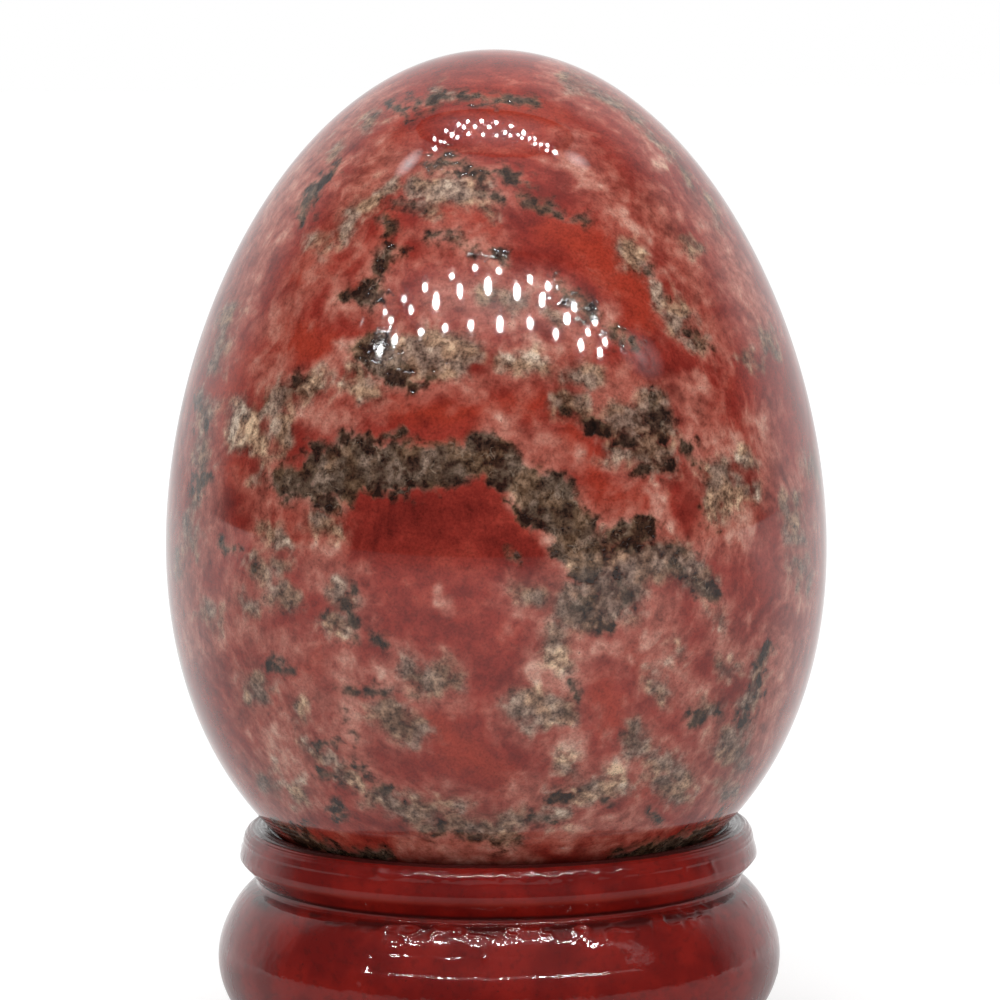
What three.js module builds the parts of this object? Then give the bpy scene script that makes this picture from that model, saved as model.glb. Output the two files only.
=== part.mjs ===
// A polished stone egg resting in a turned wooden ring stand.
// Millimetres, +Z up. The origin is the centre of the stand's foot, on the surface that it stands on.
import * as THREE from "three";

// Egg
const EGG_HEIGHT = 50;
const EGG_DIAMETER = 38;
const BLUNTNESS = 0.274; // how far the widest part sits below the middle: 0 is an ellipse
const FULLNESS = 0.084; // how far both ends fill out beyond an ellipse

// Seat and bore
const SEAT_RADIUS = 12.6; // the circle on which the egg rests
const SEAT_DROP = 0.69; // how far that circle lies below the rim's top
const SEAT_LEDGE = 1.4; // width of the sloping seat from that circle in to the bore
const SEAT_CLEARANCE = 0.1;
const BORE_CHAMFER = 0.6;

// Widths of the stand's mouldings, out from the bore
const NECK_WALL = 2.75; // wood between the bore and the bottom of both grooves
const RIM_PROUD = 1.03; // how far each moulding stands out beyond the necks
const BEAD_LEDGE = 0.4;
const BEAD_PROUD = 1.92; // beyond the ledge
const FOOT_PROUD = 1.65;

// Heights of the stand's mouldings, from the foot up
const FOOT_FACE = 1.32;
const FOOT_BEVEL = 0.5;
const NECK_HEIGHT = 0.75; // height of each groove
const BEAD_SECTION = 4.8; // radius of the bead's round section
const RIM_CHAMFER = 1.03;
const RIM_FACE = 1.97;

// Edges
const EDGE_ROUND = 0.28;
const RIM_TAPER = 0.18; // the rim's face leans in by this much towards its top
const RIM_ROUND_WIDTH = 0.6; // the soft top edge of the rim, a quarter ellipse
const RIM_ROUND_HEIGHT = 0.9;

// Facets
const TURNED_STEPS = 64; // round the axis, the same for both pieces
const EGG_STEPS = 30; // from end to end of the egg
const BEAD_STEPS = 14;
const ROUND_STEPS = 4; // along a small rounded edge

// The egg's radius at a station s, from -1 at the blunt end to 1 at the tip, before scaling to its diameter.
const eggShape = (s) =>
  Math.sqrt(Math.max(0, (1 - s * s) * (1 - BLUNTNESS * s + FULLNESS * s * s)));

const SHAPE_SAMPLES = 2000;
let widestShape = 0;
let widestStation = 0;
for (let i = 0; i <= SHAPE_SAMPLES; i += 1) {
  const s = (2 * i) / SHAPE_SAMPLES - 1;
  if (eggShape(s) > widestShape) {
    widestShape = eggShape(s);
    widestStation = s;
  }
}

const eggRadius = (s) => ((EGG_DIAMETER / 2) * eggShape(s)) / widestShape;
const eggHeight = (s) => ((s + 1) * EGG_HEIGHT) / 2;

// The station below the egg's widest part where it has a given radius, found by halving.
function stationBelowWidest(radius) {
  let low = -1;
  let high = widestStation;
  for (let i = 0; i < 50; i += 1) {
    const middle = (low + high) / 2;
    if (eggRadius(middle) < radius) low = middle;
    else high = middle;
  }
  return (low + high) / 2;
}

// Points of an elliptical arc in the profile plane, from one angle to another, in degrees.
function arc(centre, size, from, to, steps) {
  const points = [];
  for (let i = 0; i <= steps; i += 1) {
    const angle = THREE.MathUtils.degToRad(from + ((to - from) * i) / steps);
    points.push([centre[0] + size[0] * Math.cos(angle), centre[1] + size[1] * Math.sin(angle)]);
  }
  return points;
}

// A solid turned about +Z from a profile of [radius, height] points.
function turned(name, profile, material) {
  const points = profile.map(([radius, height]) => new THREE.Vector2(radius, height));
  const mesh = new THREE.Mesh(new THREE.LatheGeometry(points, TURNED_STEPS), material);
  mesh.name = name;
  mesh.rotation.x = Math.PI / 2;
  return mesh;
}

// Radii of the stand
const boreRadius = SEAT_RADIUS - SEAT_LEDGE;
const neckRadius = boreRadius + NECK_WALL;
const footRadius = neckRadius + FOOT_PROUD;
const beadFootRadius = neckRadius + BEAD_LEDGE;
const rimRadius = neckRadius + RIM_PROUD;

// Heights of the stand
const footTop = FOOT_FACE + FOOT_BEVEL;
const beadBottom = footTop + NECK_HEIGHT;
const beadHalfHeight = Math.sqrt(BEAD_SECTION ** 2 - (BEAD_SECTION - BEAD_PROUD) ** 2);
const beadTop = beadBottom + 2 * beadHalfHeight;
const rimBottom = beadTop + NECK_HEIGHT;
const rimFaceBottom = rimBottom + RIM_CHAMFER;
const standTop = rimFaceBottom + RIM_FACE;

// The seat is a cone with the egg's own slope at the seat circle, and lies a clearance outside the egg.
const contact = stationBelowWidest(SEAT_RADIUS);
const STATION_STEP = 1e-4;
const seatSlope =
  (eggHeight(contact + STATION_STEP) - eggHeight(contact - STATION_STEP)) /
  (eggRadius(contact + STATION_STEP) - eggRadius(contact - STATION_STEP));
const seatHeight = standTop - SEAT_DROP;
const eggBottom = seatHeight - eggHeight(contact) + SEAT_CLEARANCE * Math.hypot(1, seatSlope);

function eggProfile() {
  const profile = [];
  for (let i = 0; i <= EGG_STEPS; i += 1) {
    const s = -Math.cos((Math.PI * i) / EGG_STEPS);
    profile.push([eggRadius(s), eggHeight(s)]);
  }
  profile[0][0] = 0;
  profile[EGG_STEPS][0] = 0;
  return profile;
}

function footProfile() {
  const edge = [EDGE_ROUND, EDGE_ROUND];
  const edgeAxis = footRadius - EDGE_ROUND;
  return [
    [boreRadius + BORE_CHAMFER, 0],
    ...arc([edgeAxis, EDGE_ROUND], edge, -90, 0, ROUND_STEPS),
    ...arc([edgeAxis, FOOT_FACE - EDGE_ROUND], edge, 0, 70, ROUND_STEPS),
    [neckRadius, footTop],
    [neckRadius, beadBottom],
  ];
}

function beadProfile() {
  const middle = [beadFootRadius + BEAD_PROUD - BEAD_SECTION, beadBottom + beadHalfHeight];
  const reach = THREE.MathUtils.radToDeg(Math.asin(beadHalfHeight / BEAD_SECTION));
  return arc(middle, [BEAD_SECTION, BEAD_SECTION], -reach, reach, BEAD_STEPS);
}

function rimProfile() {
  const edge = [EDGE_ROUND, EDGE_ROUND];
  const roundAxis = rimRadius - RIM_TAPER - RIM_ROUND_WIDTH;
  const roundBottom = standTop - RIM_ROUND_HEIGHT;
  return [
    [neckRadius, beadTop],
    [neckRadius, rimBottom],
    ...arc([rimRadius - EDGE_ROUND, rimFaceBottom + EDGE_ROUND], edge, -45, 0, ROUND_STEPS / 2),
    ...arc([roundAxis, roundBottom], [RIM_ROUND_WIDTH, RIM_ROUND_HEIGHT], 0, 90, ROUND_STEPS),
  ];
}

function seatAndBoreProfile() {
  return [
    [SEAT_RADIUS + SEAT_DROP / seatSlope, standTop],
    [boreRadius, seatHeight - SEAT_LEDGE * seatSlope],
    [boreRadius, BORE_CHAMFER],
  ];
}

function standProfile() {
  const profile = [...footProfile(), ...beadProfile(), ...rimProfile(), ...seatAndBoreProfile()];
  profile.push(profile[0]);
  return profile;
}

const stone = new THREE.MeshStandardMaterial({ color: 0x87433a, roughness: 0.08, metalness: 0 });
const lacqueredWood = new THREE.MeshStandardMaterial({ color: 0x6b1c17, roughness: 0.12, metalness: 0 });

const stand = turned("turned_stand", standProfile(), lacqueredWood);
const egg = turned("stone_egg", eggProfile(), stone);
egg.position.z = eggBottom;

const eggOnStand = new THREE.Group();
eggOnStand.add(stand, egg);

export default eggOnStand;
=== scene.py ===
# The looks of a polished stone egg in its turned and lacquered ring stand:
# surfaces, materials, light and camera.
import itertools
import math

import bpy
import numpy as np
from mathutils import Matrix, Vector


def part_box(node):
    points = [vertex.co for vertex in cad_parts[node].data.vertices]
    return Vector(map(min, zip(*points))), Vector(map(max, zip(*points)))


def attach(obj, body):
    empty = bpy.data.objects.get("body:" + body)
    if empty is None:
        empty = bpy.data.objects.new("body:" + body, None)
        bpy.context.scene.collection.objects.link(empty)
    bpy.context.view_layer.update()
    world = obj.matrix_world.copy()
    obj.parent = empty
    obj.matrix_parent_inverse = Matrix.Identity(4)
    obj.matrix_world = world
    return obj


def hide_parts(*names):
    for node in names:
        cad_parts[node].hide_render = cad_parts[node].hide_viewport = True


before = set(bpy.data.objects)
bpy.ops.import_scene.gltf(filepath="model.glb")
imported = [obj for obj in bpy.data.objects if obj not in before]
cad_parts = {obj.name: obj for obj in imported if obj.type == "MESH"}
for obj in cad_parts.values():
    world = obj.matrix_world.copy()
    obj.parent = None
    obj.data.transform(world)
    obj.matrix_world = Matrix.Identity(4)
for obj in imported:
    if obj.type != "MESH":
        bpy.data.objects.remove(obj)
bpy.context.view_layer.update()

MM = 0.001

# The photograph's camera, found from the outlines of the egg and the rim
PHOTO_WIDTH = 1000
FOCAL_PIXELS = 5254.8
SENSOR_WIDTH = 36.0
CAMERA_PLACE = Vector((0.23, -300.0, 67.59)) * MM
CAMERA_PITCH = math.radians(6.623)
CAMERA_ROLL = math.radians(0.402)
PIXEL = 0.0576  # millimetres of the egg's front that a pixel covers
FRONT = 1.5 * math.pi  # the angle about +Z that faces this camera

# Egg shape, as in the solid
BLUNTNESS = 0.274
FULLNESS = 0.084
EGG_ROUND = 344
EGG_RINGS = 288
SHAPE_SAMPLES = 2001
FRONT_DENSITY = 0.4  # how much closer the egg's columns stand at the front
STAND_DENSITY = 0.6

# Stand section in millimetres, as in the solid
SEAT_RADIUS = 12.6
SEAT_DROP = 0.69
SEAT_LEDGE = 1.4
SEAT_SLOPE = 0.93
BORE_CHAMFER = 0.6
NECK_WALL = 2.75
RIM_PROUD = 1.03
BEAD_LEDGE = 0.4
BEAD_PROUD = 1.92
FOOT_PROUD = 1.65
FOOT_FACE = 1.32
FOOT_BEVEL = 0.5
NECK_HEIGHT = 0.75
BEAD_SECTION = 4.8
RIM_CHAMFER = 1.03
RIM_FACE = 1.97
EDGE_ROUND = 0.28
RIM_TAPER = 0.18
RIM_ROUND_WIDTH = 0.6
RIM_ROUND_HEIGHT = 0.9
STAND_ROUND = 640
STAND_ROWS = 152
SECTION_STEP = 0.01
CORNER_ROUND = 0.09  # how far lacquer rounds the section's corners
ROUND_RADIUS = 15.0  # for lengths round the stand's outside


def camera_axes():
    """The camera's right, up and forward directions, and its turn."""
    turn = Matrix.Rotation(math.pi / 2 - CAMERA_PITCH, 3, "X") @ Matrix.Rotation(-CAMERA_ROLL, 3, "Z")
    return turn.col[0], turn.col[1], -turn.col[2], turn


def photo_pixels(points):
    """Where points in metres fall in the photograph."""
    right, up, forward, _ = camera_axes()
    offset = points - np.array(CAMERA_PLACE)
    depth = offset @ np.array(forward)
    across = PHOTO_WIDTH / 2 + FOCAL_PIXELS * (offset @ np.array(right)) / depth
    down = PHOTO_WIDTH / 2 - FOCAL_PIXELS * (offset @ np.array(up)) / depth
    return np.stack([across, down], -1)


def eased(share):
    """A share from 0 to 1 with a soft start and end."""
    return share * share * (3 - 2 * share)


def linked(name, data):
    """A new object in the scene that shows the data."""
    thing = bpy.data.objects.new(name, data)
    bpy.context.collection.objects.link(thing)
    return thing


def make_camera():
    data = bpy.data.cameras.new("photo_camera")
    data.sensor_width = SENSOR_WIDTH
    data.lens = SENSOR_WIDTH * FOCAL_PIXELS / PHOTO_WIDTH
    data.clip_start = 0.01
    data.clip_end = 20.0
    camera = linked("photo_camera", data)
    camera.matrix_world = Matrix.Translation(CAMERA_PLACE) @ camera_axes()[3].to_4x4()
    bpy.context.scene.camera = camera


def ring_mesh(name, grid, closed_ends):
    """A smooth mesh from rows of points that run round the axis. Closed ends gather to a point."""
    rows, count = grid.shape[:2]
    vertices = grid.reshape(-1, 3).tolist()
    around = np.arange(count)
    after = np.roll(around, -1)
    faces = []
    for row in range(rows if not closed_ends else rows - 1):
        low = row * count
        high = ((row + 1) % rows) * count
        faces += np.stack([low + around, low + after, high + after, high + around], -1).tolist()
    if closed_ends:
        vertices += [(0.0, 0.0, height) for height in closed_ends]
        low_tip = rows * count
        last = (rows - 1) * count
        faces += [[low_tip, b, a] for a, b in zip(around.tolist(), after.tolist())]
        faces += [[low_tip + 1, last + a, last + b] for a, b in zip(around.tolist(), after.tolist())]
    mesh = bpy.data.meshes.new(name)
    mesh.from_pydata(vertices, [], faces)
    mesh.shade_smooth()
    return linked(name, mesh)


def store(mesh, name, values):
    """Gives each vertex a named value for the material to read."""
    layer = mesh.attributes.new(name, "FLOAT", "POINT")
    layer.data.foreach_set("value", np.asarray(values, dtype=np.float32))


# Veins and patches of the stone, in pixels of the photograph; the dark list also holds painted shade on the
# egg along the rim. Each is a half width, and then the x and y of each point of its path.
DARK_CLOTS_AND_RIM_SHADE = [
    (11, 283, 472, 292, 486), (6, 290, 499, 300, 488), (25, 322, 474, 338, 470, 356, 465),
    (26, 350, 464, 378, 464, 398, 468), (22, 398, 468, 420, 472, 442, 468),
    (20, 442, 467, 464, 462, 485, 458), (6, 338, 442, 366, 441, 384, 446), (4, 385, 436, 402, 434),
    (10, 305, 492, 330, 504, 345, 500), (5, 377, 489, 400, 489, 424, 486), (8, 300, 487, 318, 480),
    (23, 485, 456, 500, 466, 516, 478), (23, 516, 480, 540, 495, 560, 508), (22, 560, 508, 574, 522),
    (21, 566, 518, 578, 538, 588, 562), (15, 618, 530, 642, 532), (6, 672, 548, 690, 556),
    (7, 665, 566, 684, 570), (10, 694, 580, 708, 598), (12, 572, 603, 584, 600), (8, 596, 622, 612, 618),
    (7, 620, 580, 628, 604), (8, 590, 545, 600, 556), (22, 374, 352, 390, 362), (8, 376, 338, 366, 350),
    (9, 392, 378, 408, 378), (5, 424, 372, 448, 368), (8, 592, 420, 602, 428), (8, 620, 440, 634, 442),
    (11, 652, 405, 662, 436), (8, 655, 470, 668, 474), (5, 640, 474, 650, 474), (6, 682, 446, 688, 452),
    (5, 694, 464, 700, 468), (6, 561, 405, 568, 410), (5, 412, 100, 443, 96, 473, 99, 504, 103, 534, 105),
    (4, 393, 112, 402, 110), (4, 430, 163, 465, 169, 500, 172, 530, 180), (5, 458, 177, 485, 179),
    (3, 508, 176, 520, 174), (4, 398, 202, 426, 200), (4, 484, 197, 502, 196),
    (3.5, 519, 193, 545, 203, 566, 211, 590, 222), (7, 300, 216, 315, 184), (6, 315, 184, 338, 167),
    (6, 388, 222, 394, 232), (8, 380, 268, 392, 254), (9, 366, 298, 374, 286), (6, 338, 296, 348, 298),
    (4.5, 430, 238, 452, 236, 470, 248), (4, 484, 253, 502, 262), (7, 560, 285, 580, 300, 596, 312),
    (8, 612, 326, 628, 338), (6, 628, 336, 640, 344), (4, 683, 332, 688, 334), (5, 698, 340, 708, 348),
    (4, 198, 400, 198, 430), (5, 201, 478, 199, 500), (5, 270, 660, 275, 668), (2.5, 280, 672, 292, 671),
    (5, 225, 543, 232, 548), (5, 276, 592, 284, 598), (4, 357, 590, 360, 604), (4, 346, 606, 352, 632),
    (5, 322, 622, 328, 626), (4, 340, 632, 350, 640), (2, 370, 642, 384, 647), (4, 412, 690, 428, 690),
    (3, 344, 690, 352, 690), (3, 368, 692, 390, 694), (3, 340, 706, 346, 718), (4, 350, 732, 356, 738),
    (2.5, 322, 743, 334, 740), (2, 322, 772, 345, 782), (5, 345, 782, 372, 795, 385, 800),
    (2, 341, 766, 361, 768), (6, 376, 786, 388, 790), (6, 392, 806, 412, 814), (5, 334, 808, 342, 816),
    (5, 440, 830, 480, 838, 520, 842), (5, 534, 822, 552, 820), (5, 552, 798, 576, 796),
    (3, 596, 789, 608, 795), (5, 763, 650, 760, 668), (7, 756, 682, 750, 700), (5, 748, 705, 742, 724),
    (7, 690, 716, 698, 712), (4, 708, 704, 714, 710), (4, 627, 738, 629, 740), (3, 509, 697, 513, 699),
    (5, 570, 678, 574, 694), (5, 554, 656, 560, 664), (3, 566, 757, 568, 760), (2.5, 244, 416, 245, 418),
    (2.5, 233, 434, 240, 438), (4, 296, 376, 300, 380), (3, 315, 382, 320, 384), (3, 252, 570, 256, 577),
    (4, 507, 554, 514, 558), (2.5, 707, 511, 712, 514), (2.5, 706, 524, 711, 527),
    (3, 644, 268, 650, 275), (3, 665, 294, 668, 298), (4, 656, 816, 660, 820),
    # The last two strokes are painted shade: the egg darkened where it sinks into the rim.
    (9, 272, 824, 320, 848, 380, 862), (9, 724, 824, 680, 846, 620, 860),
]
BLACK_SPOTS = [
    (6, 345, 445, 380, 447), (7, 318, 447, 330, 452), (7, 325, 500, 335, 505), (6, 395, 468, 415, 470),
    (5, 380, 493, 420, 490), (9, 483, 450, 500, 452), (8, 488, 468, 500, 466), (5, 505, 495, 520, 512),
    (5, 520, 514, 540, 522), (7, 620, 530, 650, 530), (7, 622, 548, 632, 552), (6, 605, 560, 615, 575),
    (6, 690, 575, 706, 592), (7, 600, 625, 615, 622), (7, 620, 440, 636, 442), (7, 660, 415, 664, 440),
    (6, 655, 468, 668, 472), (5, 592, 428, 602, 432), (8, 375, 345, 390, 352), (7, 365, 362, 378, 372),
    (6, 388, 380, 405, 378), (5, 450, 174, 490, 179), (4, 405, 200, 430, 204), (5, 380, 262, 396, 252),
    (6, 368, 288, 374, 296), (4, 345, 783, 385, 802), (5, 552, 798, 576, 797), (5, 757, 655, 752, 690),
    (5, 748, 700, 742, 718), (5, 318, 182, 336, 168), (5, 333, 810, 342, 818),
]
VEIL_PATCHES = [
    (14, 285, 385, 272, 420, 268, 450, 262, 480), (16, 300, 405, 340, 415), (12, 350, 390, 380, 395),
    (10, 380, 388, 480, 385), (13, 250, 485, 270, 500, 265, 520), (17, 310, 515, 325, 535, 318, 560),
    (12, 268, 545, 262, 570, 270, 595), (15, 345, 580, 345, 632), (12, 240, 600, 212, 612, 215, 640),
    (10, 230, 630, 300, 650), (12, 182, 540, 184, 600, 190, 650), (10, 200, 430, 206, 500, 204, 560),
    (14, 500, 432, 530, 445, 562, 462), (16, 500, 365, 560, 372, 600, 385),
    (30, 610, 400, 650, 420, 640, 455), (18, 690, 400, 700, 440, 715, 470),
    (22, 715, 475, 725, 505, 735, 530), (16, 600, 515, 650, 540, 700, 545),
    (24, 570, 590, 560, 630, 575, 650), (16, 525, 595, 550, 605), (16, 655, 600, 665, 640, 668, 690),
    (12, 715, 610, 722, 640, 740, 660), (14, 580, 650, 620, 650), (10, 760, 420, 765, 460, 758, 500),
    (9, 792, 480, 800, 540, 800, 600), (12, 780, 640, 770, 700, 755, 750),
    (16, 390, 160, 360, 190, 345, 225), (10, 380, 100, 350, 125, 320, 155),
    (12, 300, 170, 275, 205, 255, 250), (10, 245, 280, 230, 310, 215, 350),
    (8, 330, 240, 300, 290, 275, 330), (12, 270, 375, 330, 380), (14, 420, 175, 490, 190),
    (10, 560, 72, 620, 105, 660, 150), (12, 570, 155, 610, 195, 640, 250),
    (12, 650, 205, 690, 260, 700, 300), (10, 700, 205, 740, 270, 760, 330), (12, 675, 310, 715, 345),
    (24, 440, 300, 520, 300, 580, 320), (14, 400, 340, 480, 345), (12, 430, 240, 490, 255),
    (16, 380, 265, 375, 300), (12, 340, 285, 345, 300), (20, 290, 720, 310, 760, 300, 790),
    (18, 340, 740, 360, 770), (14, 340, 665, 345, 700, 350, 725), (20, 390, 675, 440, 685),
    (20, 380, 705, 400, 730), (14, 250, 680, 260, 710), (16, 380, 795, 440, 815, 520, 830),
    (20, 420, 840, 520, 845), (12, 560, 835, 640, 820), (18, 520, 800, 580, 800, 620, 780),
    (20, 520, 710, 565, 712), (18, 545, 675, 565, 690), (18, 565, 745, 580, 775),
    (16, 640, 735, 645, 750), (20, 655, 765, 690, 780), (16, 690, 700, 725, 735),
    (14, 735, 760, 725, 795), (12, 300, 690, 320, 700), (12, 260, 770, 290, 800),
    (14, 600, 620, 640, 620),
]
GREY_PATCHES = [
    (24, 590, 548, 615, 560, 628, 575), (20, 640, 560, 672, 560), (26, 600, 580, 625, 590),
    (18, 675, 565, 700, 583), (22, 575, 605, 600, 612), (14, 560, 618, 600, 622),
    (14, 565, 402, 580, 408), (10, 585, 415, 600, 425), (22, 620, 425, 650, 430),
    (16, 655, 408, 662, 430), (20, 640, 455, 660, 465), (10, 672, 305, 690, 330), (8, 690, 325, 700, 345),
    (6, 686, 236, 700, 250), (7, 765, 335, 770, 350), (6, 750, 356, 760, 366),
    (6, 790, 500, 796, 520, 798, 540), (6, 800, 560, 806, 585), (5, 808, 455, 812, 470),
    (7, 232, 305, 222, 330, 212, 365), (7, 202, 400, 199, 430, 200, 470), (5, 196, 500, 190, 525),
    (7, 190, 525, 192, 550), (5, 174, 555, 176, 575), (9, 278, 590, 292, 603), (8, 276, 560, 280, 566),
    (9, 352, 600, 350, 625), (8, 244, 606, 250, 612), (6, 209, 612, 213, 622), (11, 257, 680, 258, 694),
    (14, 408, 672, 440, 676), (8, 446, 680, 455, 684), (16, 384, 710, 400, 722, 412, 730),
    (12, 380, 800, 405, 812, 430, 815), (10, 430, 822, 470, 828, 510, 832),
    (9, 500, 822, 540, 822, 570, 812), (8, 548, 800, 580, 798), (9, 760, 660, 748, 700, 738, 730),
    (12, 728, 736, 735, 760), (10, 700, 712, 716, 704), (13, 636, 732, 640, 744), (8, 724, 790, 728, 796),
    (10, 552, 640, 560, 660), (12, 660, 785, 680, 790), (9, 660, 680, 662, 697), (8, 720, 658, 726, 668),
    (15, 282, 400, 300, 386, 318, 380), (11, 526, 596, 538, 598), (12, 716, 500, 724, 510),
    (8, 646, 450, 652, 456), (6, 480, 205, 492, 208), (6, 372, 118, 360, 128), (6, 338, 144, 330, 152),
    (5, 568, 76, 600, 94, 640, 122, 660, 145, 692, 185, 718, 222), (8, 262, 776, 272, 786),
    (10, 480, 295, 520, 300), (8, 540, 305, 560, 320), (8, 425, 342, 452, 338),
]
BEIGE_PATCHES = [
    (21, 415, 354, 445, 356, 468, 354), (24, 246, 424, 248, 432), (10, 284, 415, 284, 445),
    (7, 262, 462, 256, 480), (10, 355, 375, 372, 392), (12, 318, 522, 334, 528), (9, 268, 525, 276, 538),
    (9, 252, 560, 262, 572), (13, 344, 590, 340, 600), (13, 330, 622, 345, 624),
    (4, 388, 792, 426, 802, 460, 812, 500, 820), (12, 585, 790, 620, 782),
    (16, 520, 708, 548, 712, 565, 712), (9, 562, 765, 574, 775), (9, 655, 757, 665, 765),
    (14, 666, 768, 682, 778), (4, 668, 644, 678, 650, 679, 665), (8, 630, 614, 638, 620),
    (8, 717, 620, 720, 622), (6, 300, 708, 298, 722), (6, 306, 738, 312, 748), (8, 318, 748, 330, 758),
    (8, 340, 775, 356, 784), (8, 298, 782, 303, 794), (18, 718, 478, 722, 490), (8, 742, 460, 746, 466),
    (8, 744, 492, 748, 500), (11, 606, 446, 618, 452), (13, 420, 186, 458, 190, 480, 190),
    (9, 412, 205, 430, 207), (6, 430, 93, 450, 92), (10, 390, 184, 364, 208, 346, 228),
    (7, 346, 228, 330, 240, 312, 250), (12, 628, 250, 636, 262), (8, 676, 300, 684, 312),
    (8, 655, 285, 662, 300), (10, 500, 360, 530, 365, 550, 372), (13, 570, 378, 595, 380),
    (7, 668, 560, 684, 562),
]
PINK_PATCHES_AND_SHEEN = [
    (9, 308, 415, 316, 420), (9, 328, 422, 338, 426), (12, 322, 375, 340, 362, 352, 352),
    (10, 314, 552, 322, 560), (6, 330, 540, 336, 548), (11, 437, 600, 439, 602), (12, 390, 680, 404, 684),
    (16, 542, 676, 552, 677), (14, 560, 742, 580, 748),
    (7, 645, 645, 662, 643, 674, 650, 674, 664, 664, 680, 659, 694), (10, 572, 652, 590, 648, 612, 652),
    (8, 720, 635, 724, 645), (10, 343, 668, 342, 676), (18, 270, 740, 290, 770), (16, 735, 515, 740, 530),
    (9, 684, 412, 688, 420), (8, 692, 428, 696, 434), (12, 720, 445, 728, 452), (7, 757, 420, 761, 424),
    (8, 697, 378, 702, 392), (8, 655, 492, 652, 500), (10, 656, 512, 664, 522),
    # The first stroke on this line is a painted highlight: a soft pink streak where the lamps' reflection
    # runs down the egg's upper right, over the stone's own pink.
    (10, 570, 160, 600, 185, 625, 215, 640, 240), (16, 243, 420, 249, 434),
    (4, 512, 500, 535, 520, 556, 548, 568, 568), (6, 649, 266, 655, 270), (8, 650, 155, 656, 162),
    (12, 510, 350, 550, 356), (9, 615, 775, 640, 765), (10, 520, 610, 545, 622), (12, 560, 816, 600, 812),
]
BRIGHT_RED = [
    (14, 440, 220, 462, 217, 480, 224), (18, 555, 228, 580, 240, 605, 262),
    (18, 620, 280, 640, 300, 655, 312), (14, 398, 408, 440, 412, 490, 412), (12, 500, 408, 540, 405),
    (16, 575, 440, 590, 460, 596, 485), (16, 600, 500, 630, 500), (12, 225, 470, 232, 485),
    (16, 290, 340, 320, 348), (14, 240, 350, 225, 390), (10, 380, 140, 400, 130),
    (12, 500, 112, 560, 118), (18, 440, 735, 480, 760, 500, 775), (12, 335, 756, 348, 760),
    (14, 600, 690, 615, 715), (12, 632, 655, 650, 665), (10, 640, 790, 655, 775),
    (12, 300, 680, 320, 660), (12, 420, 725, 440, 720), (12, 330, 240, 300, 275),
]
DEEP_RED = [
    (28, 380, 520, 430, 522, 480, 525, 520, 560), (16, 360, 535, 400, 545), (12, 228, 500, 236, 505),
    (16, 672, 382, 690, 400), (14, 682, 490, 690, 505), (14, 765, 495, 770, 515),
    (18, 540, 590, 575, 620), (16, 520, 225, 540, 230), (12, 535, 190, 560, 200),
]
FURTHEST = 3.0  # millimetres past which a patch has no say
WILD_REACH = 9.0  # millimetres of depth for a full swing of the noise that shapes the patches elsewhere
LATTICE = 24


def lumps(points, period, seed):
    """Smooth noise in space, from -1 to 1. Points and period are in millimetres."""
    lattice = np.random.default_rng(seed).uniform(-1, 1, (LATTICE,) * 3)
    cells = np.floor(points / period).astype(int)
    share = eased(points / period - cells)
    total = np.zeros(len(points))
    for corner in itertools.product((0, 1), repeat=3):
        weight = np.prod(np.where(np.array(corner) == 1, share, 1 - share), axis=1)
        place = (cells + corner) % LATTICE
        total += weight * lattice[place[:, 0], place[:, 1], place[:, 2]]
    return total


def depth_inside(places, patches):
    """How far each place lies inside the nearest patch, in millimetres; negative outside."""
    best = np.full(len(places), -FURTHEST / PIXEL)
    for half_width, *path in patches:
        points = np.reshape(path, (-1, 2)).astype(float)
        near = np.full(len(places), np.inf)
        for start, end in zip(points[:-1], points[1:]):
            along = end - start
            share = np.clip((places - start) @ along / (along @ along), 0, 1)
            near = np.minimum(near, np.linalg.norm(places - start - share[:, None] * along, axis=1))
        best = np.maximum(best, half_width - near)
    return np.maximum(best * PIXEL, -FURTHEST)


def egg_section(stations):
    """The egg's radius at stations from -1 at the blunt end to 1 at the tip, for a widest radius of 1."""

    def shape(s):
        return np.sqrt(np.maximum(0, (1 - s * s) * (1 - BLUNTNESS * s + FULLNESS * s * s)))

    return shape(stations) / shape(np.linspace(-1, 1, SHAPE_SAMPLES)).max()


# How far a patch's edge strays in pixels, and over what length in millimetres
RAGGED = [(7.0, 2.0), (4.0, 0.8)]
RAGGED_SEED = 20
SEEN_FROM = 0.05  # how squarely a place faces the camera where the strokes set in
SEEN_OVER = 0.20


def vertex_vectors(mesh, name):
    """The vertices' places or normals, one row each."""
    values = np.empty(len(mesh.vertices) * 3)
    mesh.vertices.foreach_get(name, values)
    return values.reshape(-1, 3)


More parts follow.
